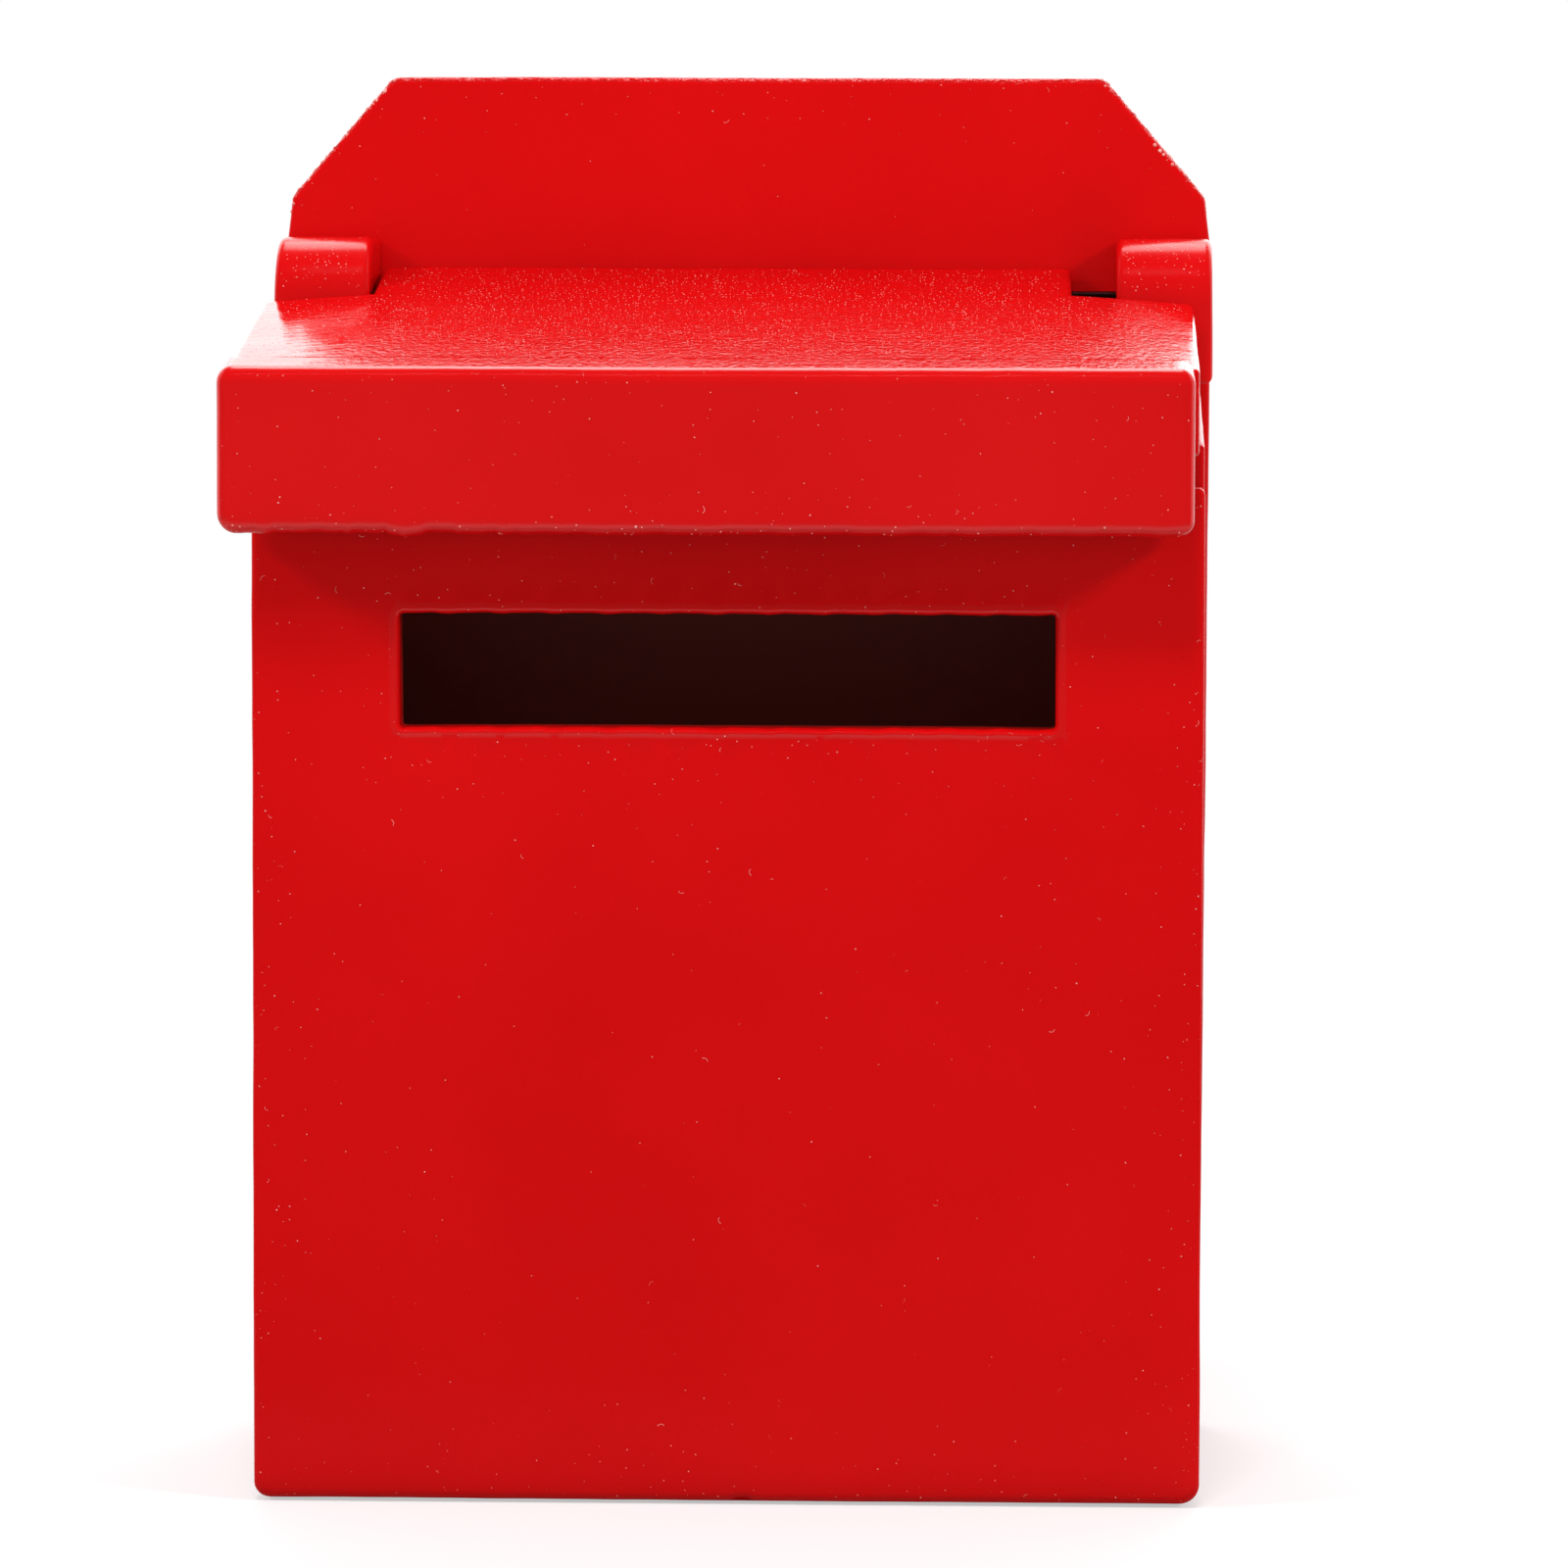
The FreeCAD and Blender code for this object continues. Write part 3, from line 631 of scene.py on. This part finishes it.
# Dust lies on the faces that are turned the given way and stand above the given height.
facing_limit = 0.82
turned = add_node(scatter, "ShaderNodeVectorMath", {"operation": "DOT_PRODUCT"},
                  _0=add_node(scatter, "GeometryNodeInputNormal").outputs["Normal"], _1=given["Facing"])
toward = add_node(scatter, "FunctionNodeCompare", {"data_type": "FLOAT", "operation": "GREATER_THAN"},
                  _0=turned.outputs["Value"], _1=facing_limit)
height = add_node(scatter, "ShaderNodeSeparateXYZ",
                  Vector=add_node(scatter, "GeometryNodeInputPosition").outputs["Position"])
above = add_node(scatter, "FunctionNodeCompare", {"data_type": "FLOAT", "operation": "GREATER_THAN"},
                 _0=height.outputs["Z"], _1=given["Lowest"])
bare = add_node(scatter, "FunctionNodeBooleanMath", {"operation": "AND"}, _0=toward.outputs["Result"],
                _1=above.outputs["Result"])
# It gathers toward the rims, over a share that lies anywhere.
anywhere = 0.15
rim = add_node(scatter, "GeometryNodeInputNamedAttribute", {"data_type": "FLOAT"}, Name="rim")
thick = add_node(scatter, "ShaderNodeMath", {"operation": "MULTIPLY_ADD"}, _0=rim.outputs["Attribute"],
                 _1=given["Edge gain"], _2=anywhere)
# A nib is a low bump, and a hair a bent strand about 0.6 mm long.
nib_radius, hair_radius = 0.00005, 0.000022
nib = add_node(scatter, "GeometryNodeMeshIcoSphere", Radius=nib_radius, Subdivisions=1)
arc = add_node(scatter, "GeometryNodeCurveQuadraticBezier", Resolution=6, Start=(-0.00032, 0, 0),
               Middle=(0.00005, 0.0003, 0.00002), End=(0.0003, -0.00004, 0))
section = add_node(scatter, "GeometryNodeCurvePrimitiveCircle", Resolution=4, Radius=hair_radius)
hair = add_node(scatter, "GeometryNodeCurveToMesh", Curve=arc.outputs["Curve"],
                Profile_Curve=section.outputs["Curve"], Fill_Caps=True)
sunk = (1, 1, 0.55)
full_turn = (0, 0, 6.283)
kinds = []
for strand, count, order, smallest, largest in (
        (nib.outputs["Mesh"], "Specks per square metre", 0, 0.3, 1.6),
        (hair.outputs["Mesh"], "Hairs per square metre", 50, 0.4, 1.0)):
    seed = add_node(scatter, "ShaderNodeMath", {"operation": "ADD"}, _0=given["Seed"], _1=order)
    amount = add_node(scatter, "ShaderNodeMath", {"operation": "MULTIPLY"}, _0=thick.outputs["Value"],
                      _1=given[count])
    spread = add_node(scatter, "GeometryNodeDistributePointsOnFaces", Mesh=given["Board"],
                      Selection=bare.outputs["Boolean"], Density=amount.outputs["Value"],
                      Seed=seed.outputs["Value"])
    grow = add_node(scatter, "FunctionNodeRandomValue", {"data_type": "FLOAT"}, _2=smallest, _3=largest,
                    Seed=seed.outputs["Value"])
    size = add_node(scatter, "ShaderNodeMath", {"operation": "MULTIPLY"}, _0=grow.outputs["Value"],
                    _1=given["Coarseness"])
    lowered = add_node(scatter, "ShaderNodeVectorMath", {"operation": "SCALE"}, _0=sunk,
                       Scale=size.outputs["Value"])
    set_down = add_node(scatter, "GeometryNodeInstanceOnPoints", Points=spread.outputs["Points"],
                        Instance=strand, Rotation=spread.outputs["Rotation"],
                        Scale=lowered.outputs["Vector"])
    spin = add_node(scatter, "FunctionNodeRandomValue", {"data_type": "FLOAT_VECTOR"}, _0=(0, 0, 0),
                    _1=full_turn, Seed=seed.outputs["Value"])
    spun = add_node(scatter, "GeometryNodeRotateInstances", Instances=set_down.outputs["Instances"],
                    Rotation=spin.outputs["Value"])
    kinds.append(spun.outputs["Instances"])
together = add_node(scatter, "GeometryNodeJoinGeometry", Geometry=kinds[0])
scatter.links.new(kinds[1], together.inputs["Geometry"])
real = add_node(scatter, "GeometryNodeRealizeInstances", Geometry=together.outputs["Geometry"])
dressed = add_node(scatter, "GeometryNodeSetMaterial", Geometry=real.outputs["Geometry"],
                   Material=given["Finish"])
add_node(scatter, "NodeGroupOutput", Dust=dressed.outputs["Geometry"])
sockets = {item.name: item.identifier for item in scatter.interface.items_tree if item.in_out == "INPUT"}

# Each kind of dust is specks and hairs per square mm, edge gain and coarseness.
wall_dust = (0.45, 0.03, 1.6, 0.68)
tall_dust = (0.25, 0.006, 1.6, 0.7)
sawn_dust = (3.0, 0.0, 1.6, 1.4)
sawn_edge_dust = (3.0, 0.0, 1.6, 2.2)
block_dust = (2.0, 0.0, 1.6, 0.75)
lid_top_dust = (28.0, 0.05, -0.15, 0.57)
lip_dust = (0.45, 0.012, 1.6, 0.72)
lip_edge_dust = (0.6, 0.0, 1.6, 1.1)
# Each row is a board, the way its dusty face is turned, the lowest height of dust in metres, and its kind.
any_height, above_blocks, upper_block = 0.0, 0.0805, 0.0745
dusty_faces = {
    "box": (("front_board", (0, -1, 0), any_height, wall_dust),
            ("left_side_board", (-1, 0, 0), any_height, wall_dust),
            ("right_side_board", (1, 0, 0), any_height, wall_dust),
            ("tall_back_board", (0, -1, 0), above_blocks, tall_dust),
            ("tall_back_board", (-0.76, 0, 0.65), sawn_from, sawn_dust),
            ("tall_back_board", (0.76, 0, 0.65), sawn_from, sawn_dust),
            ("tall_back_board", (-0.62, -0.6, 0.5), sawn_from, sawn_edge_dust),
            ("tall_back_board", (0.62, -0.6, 0.5), sawn_from, sawn_edge_dust),
            ("left_rounded_block", (0, -0.7, 0.7), upper_block, block_dust),
            ("right_rounded_block", (0, -0.7, 0.7), upper_block, block_dust)),
    "lid": (("lid_plank", (0, 0, 1), any_height, lid_top_dust),
            ("lid_lip", (0, 0, 1), any_height, lid_top_dust),
            ("lid_lip", (0, -1, 0), any_height, lip_dust),
            ("lid_lip", (-0.1, -0.7, -0.7), any_height, lip_edge_dust))}
square_mm_per_metre = 1e6
lowest, highest = (np.array(corner) for corner in cad_box)
for body, rows in dusty_faces.items():
    work = bmesh.new()
    for seed, (board, facing, bottom, (specks, hairs, edge_gain, coarseness)) in enumerate(rows):
        host = bpy.data.objects.new("dust_host", bpy.data.objects[board].data)
        bpy.context.scene.collection.objects.link(host)
        settle = host.modifiers.new("caught_dust", "NODES")
        settle.node_group = scatter
        for name, value in (("Specks per square metre", specks * square_mm_per_metre),
                            ("Hairs per square metre", hairs * square_mm_per_metre), ("Facing", facing),
                            ("Lowest", bottom), ("Edge gain", edge_gain), ("Coarseness", coarseness),
                            ("Seed", seed), ("Finish", dust_and_painted_highlight)):
            settle[sockets[name]] = value
        settled = host.evaluated_get(bpy.context.evaluated_depsgraph_get())
        work.from_mesh(bpy.data.meshes.new_from_object(settled))
        bpy.data.objects.remove(host)
    mesh = bpy.data.meshes.new(f"{body}_dust")
    work.to_mesh(mesh)
    work.free()
    spots = np.clip([vertex.co for vertex in mesh.vertices], lowest, highest)
    mesh.vertices.foreach_set("co", spots.ravel())
    mesh.shade_smooth()
    add_piece(mesh, body, dust_and_painted_highlight)

# Stage: a pale round table top, a white sweep behind it, and a dark studio in front.
# A small soft box above the camera and one on each side light the front, and three larger ones the back.
scene = bpy.context.scene
scene.view_settings.view_transform = "Standard"
table_radius, table_place = 0.30, (0, 0.24, -0.0002)
table = bpy.data.meshes.new("table_top")
work = bmesh.new()
bmesh.ops.create_circle(work, cap_ends=True, segments=96, radius=table_radius,
                        matrix=Matrix.Translation(table_place))
work.to_mesh(table)
work.free()
table_top = bpy.data.objects.new("table_top", table)
scene.collection.objects.link(table_top)
# Matt laminate, lifted to white for the camera alone, so that only the shadow stays.
pale = blank_material("pale_table_laminate")
tree = pale.node_tree
rays = add_node(tree, "ShaderNodeLightPath")
laminate = add_node(tree, "ShaderNodeBsdfDiffuse", Color=srgb("#B4B4B4"))
lift = add_node(tree, "ShaderNodeMath", {"operation": "MULTIPLY"}, _0=rays.outputs["Is Camera Ray"], _1=0.5)
glow = add_node(tree, "ShaderNodeEmission", Color=srgb("#FFFFFF"), Strength=lift.outputs["Value"])
both = add_node(tree, "ShaderNodeAddShader", _0=laminate.outputs["BSDF"], _1=glow.outputs["Emission"])
add_node(tree, "ShaderNodeOutputMaterial", Surface=both.outputs["Shader"])
table.materials.append(pale)

world = bpy.data.worlds.new("studio")
scene.world = world
world.use_nodes = True
tree = world.node_tree
tree.nodes.clear()
rays = add_node(tree, "ShaderNodeLightPath")
heading = add_node(tree, "ShaderNodeSeparateXYZ",
                   Vector=add_node(tree, "ShaderNodeTexCoord").outputs["Generated"])
# The paint mirrors the bright sweep behind the box, up to the dark ceiling, and the table's far edge below.
behind = add_node(tree, "ShaderNodeMapRange", Value=heading.outputs["Y"], From_Min=-0.1, From_Max=0.25,
                  To_Min=0.03, To_Max=1.25)
ceiling = add_node(tree, "ShaderNodeMapRange", Value=heading.outputs["Z"], From_Min=0.6, From_Max=0.75,
                   To_Min=1.0, To_Max=0.1)
sweep = add_node(tree, "ShaderNodeMath", {"operation": "MULTIPLY"}, _0=behind.outputs["Result"],
                 _1=ceiling.outputs["Result"])
below = add_node(tree, "ShaderNodeMapRange", Value=heading.outputs["Z"], From_Min=-0.6, From_Max=-0.3,
                 To_Min=1.0, To_Max=0.0)
mirrored = add_node(tree, "ShaderNodeMath", {"operation": "MAXIMUM"}, _0=sweep.outputs["Value"],
                    _1=below.outputs["Result"])
# Everything else gets an even, soft light, a little stronger from below.
soft = add_node(tree, "ShaderNodeMapRange", Value=heading.outputs["Z"], From_Min=-0.3, From_Max=0.1,
                To_Min=0.85, To_Max=0.44)
lit = add_node(tree, "ShaderNodeMix", {"data_type": "FLOAT"}, _0=rays.outputs["Is Glossy Ray"],
               _2=soft.outputs["Result"], _3=mirrored.outputs["Value"])
shown = add_node(tree, "ShaderNodeMix", {"data_type": "FLOAT"}, _0=rays.outputs["Is Camera Ray"],
                 _2=lit.outputs["Result"], _3=1.0)
sky = add_node(tree, "ShaderNodeBackground", Color=srgb("#FFFFFF"), Strength=shown.outputs["Result"])
add_node(tree, "ShaderNodeOutputWorld", Surface=sky.outputs["Background"])

# Each lamp has a place, an aim and a width in metres, a power in watts, and says if the paint mirrors it.
for name, place, aim, width, power, in_mirror in (
        ("key", (-0.03, -0.41, 0.77), (0, 0, 0.05), 0.16, 2.35, False),
        ("left_front", (-0.62, -0.29, 0.48), (0, 0, 0.05), 0.12, 2.2, False),
        ("right_front", (0.62, -0.36, 0.44), (0, 0, 0.05), 0.12, 2.45, False),
        ("left_back", (-0.32, 0.60, 0.345), (0, 0, 0.06), 0.50, 0.70, True),
        ("right_back", (0.25, 0.60, 0.345), (0, 0, 0.06), 0.46, 1.05, True),
        ("over_back", (0, 0.27, 0.50), (0, 0, 0.07), 0.25, 1.0, True)):
    lamp = bpy.data.lights.new(name, "AREA")
    lamp.size = width
    lamp.energy = power
    soft_box = bpy.data.objects.new(name, lamp)
    soft_box.location = place
    soft_box.rotation_euler = (Vector(aim) - Vector(place)).to_track_quat("-Z", "Y").to_euler()
    soft_box.visible_glossy = in_mirror
    scene.collection.objects.link(soft_box)

# The camera stands half a metre off and a little to the right, with a long lens.
sensor_mm, focal_mm = 36.0, 175.86
camera_place = (0.02038, -0.49765, 0.08088)
pan, tilt, roll, quarter_turn = (math.radians(angle) for angle in (2.0, -4.195, -0.145, 90))
lens = bpy.data.cameras.new("photo_camera")
lens.sensor_width = sensor_mm
lens.lens = focal_mm
camera = bpy.data.objects.new("photo_camera", lens)
camera.location = camera_place
aimed = Matrix.Rotation(pan, 3, "Z") @ Matrix.Rotation(tilt, 3, "X") @ Matrix.Rotation(roll, 3, "Y")
camera.rotation_euler = (aimed @ Matrix.Rotation(quarter_turn, 3, "X")).to_euler()
scene.collection.objects.link(camera)
scene.camera = camera
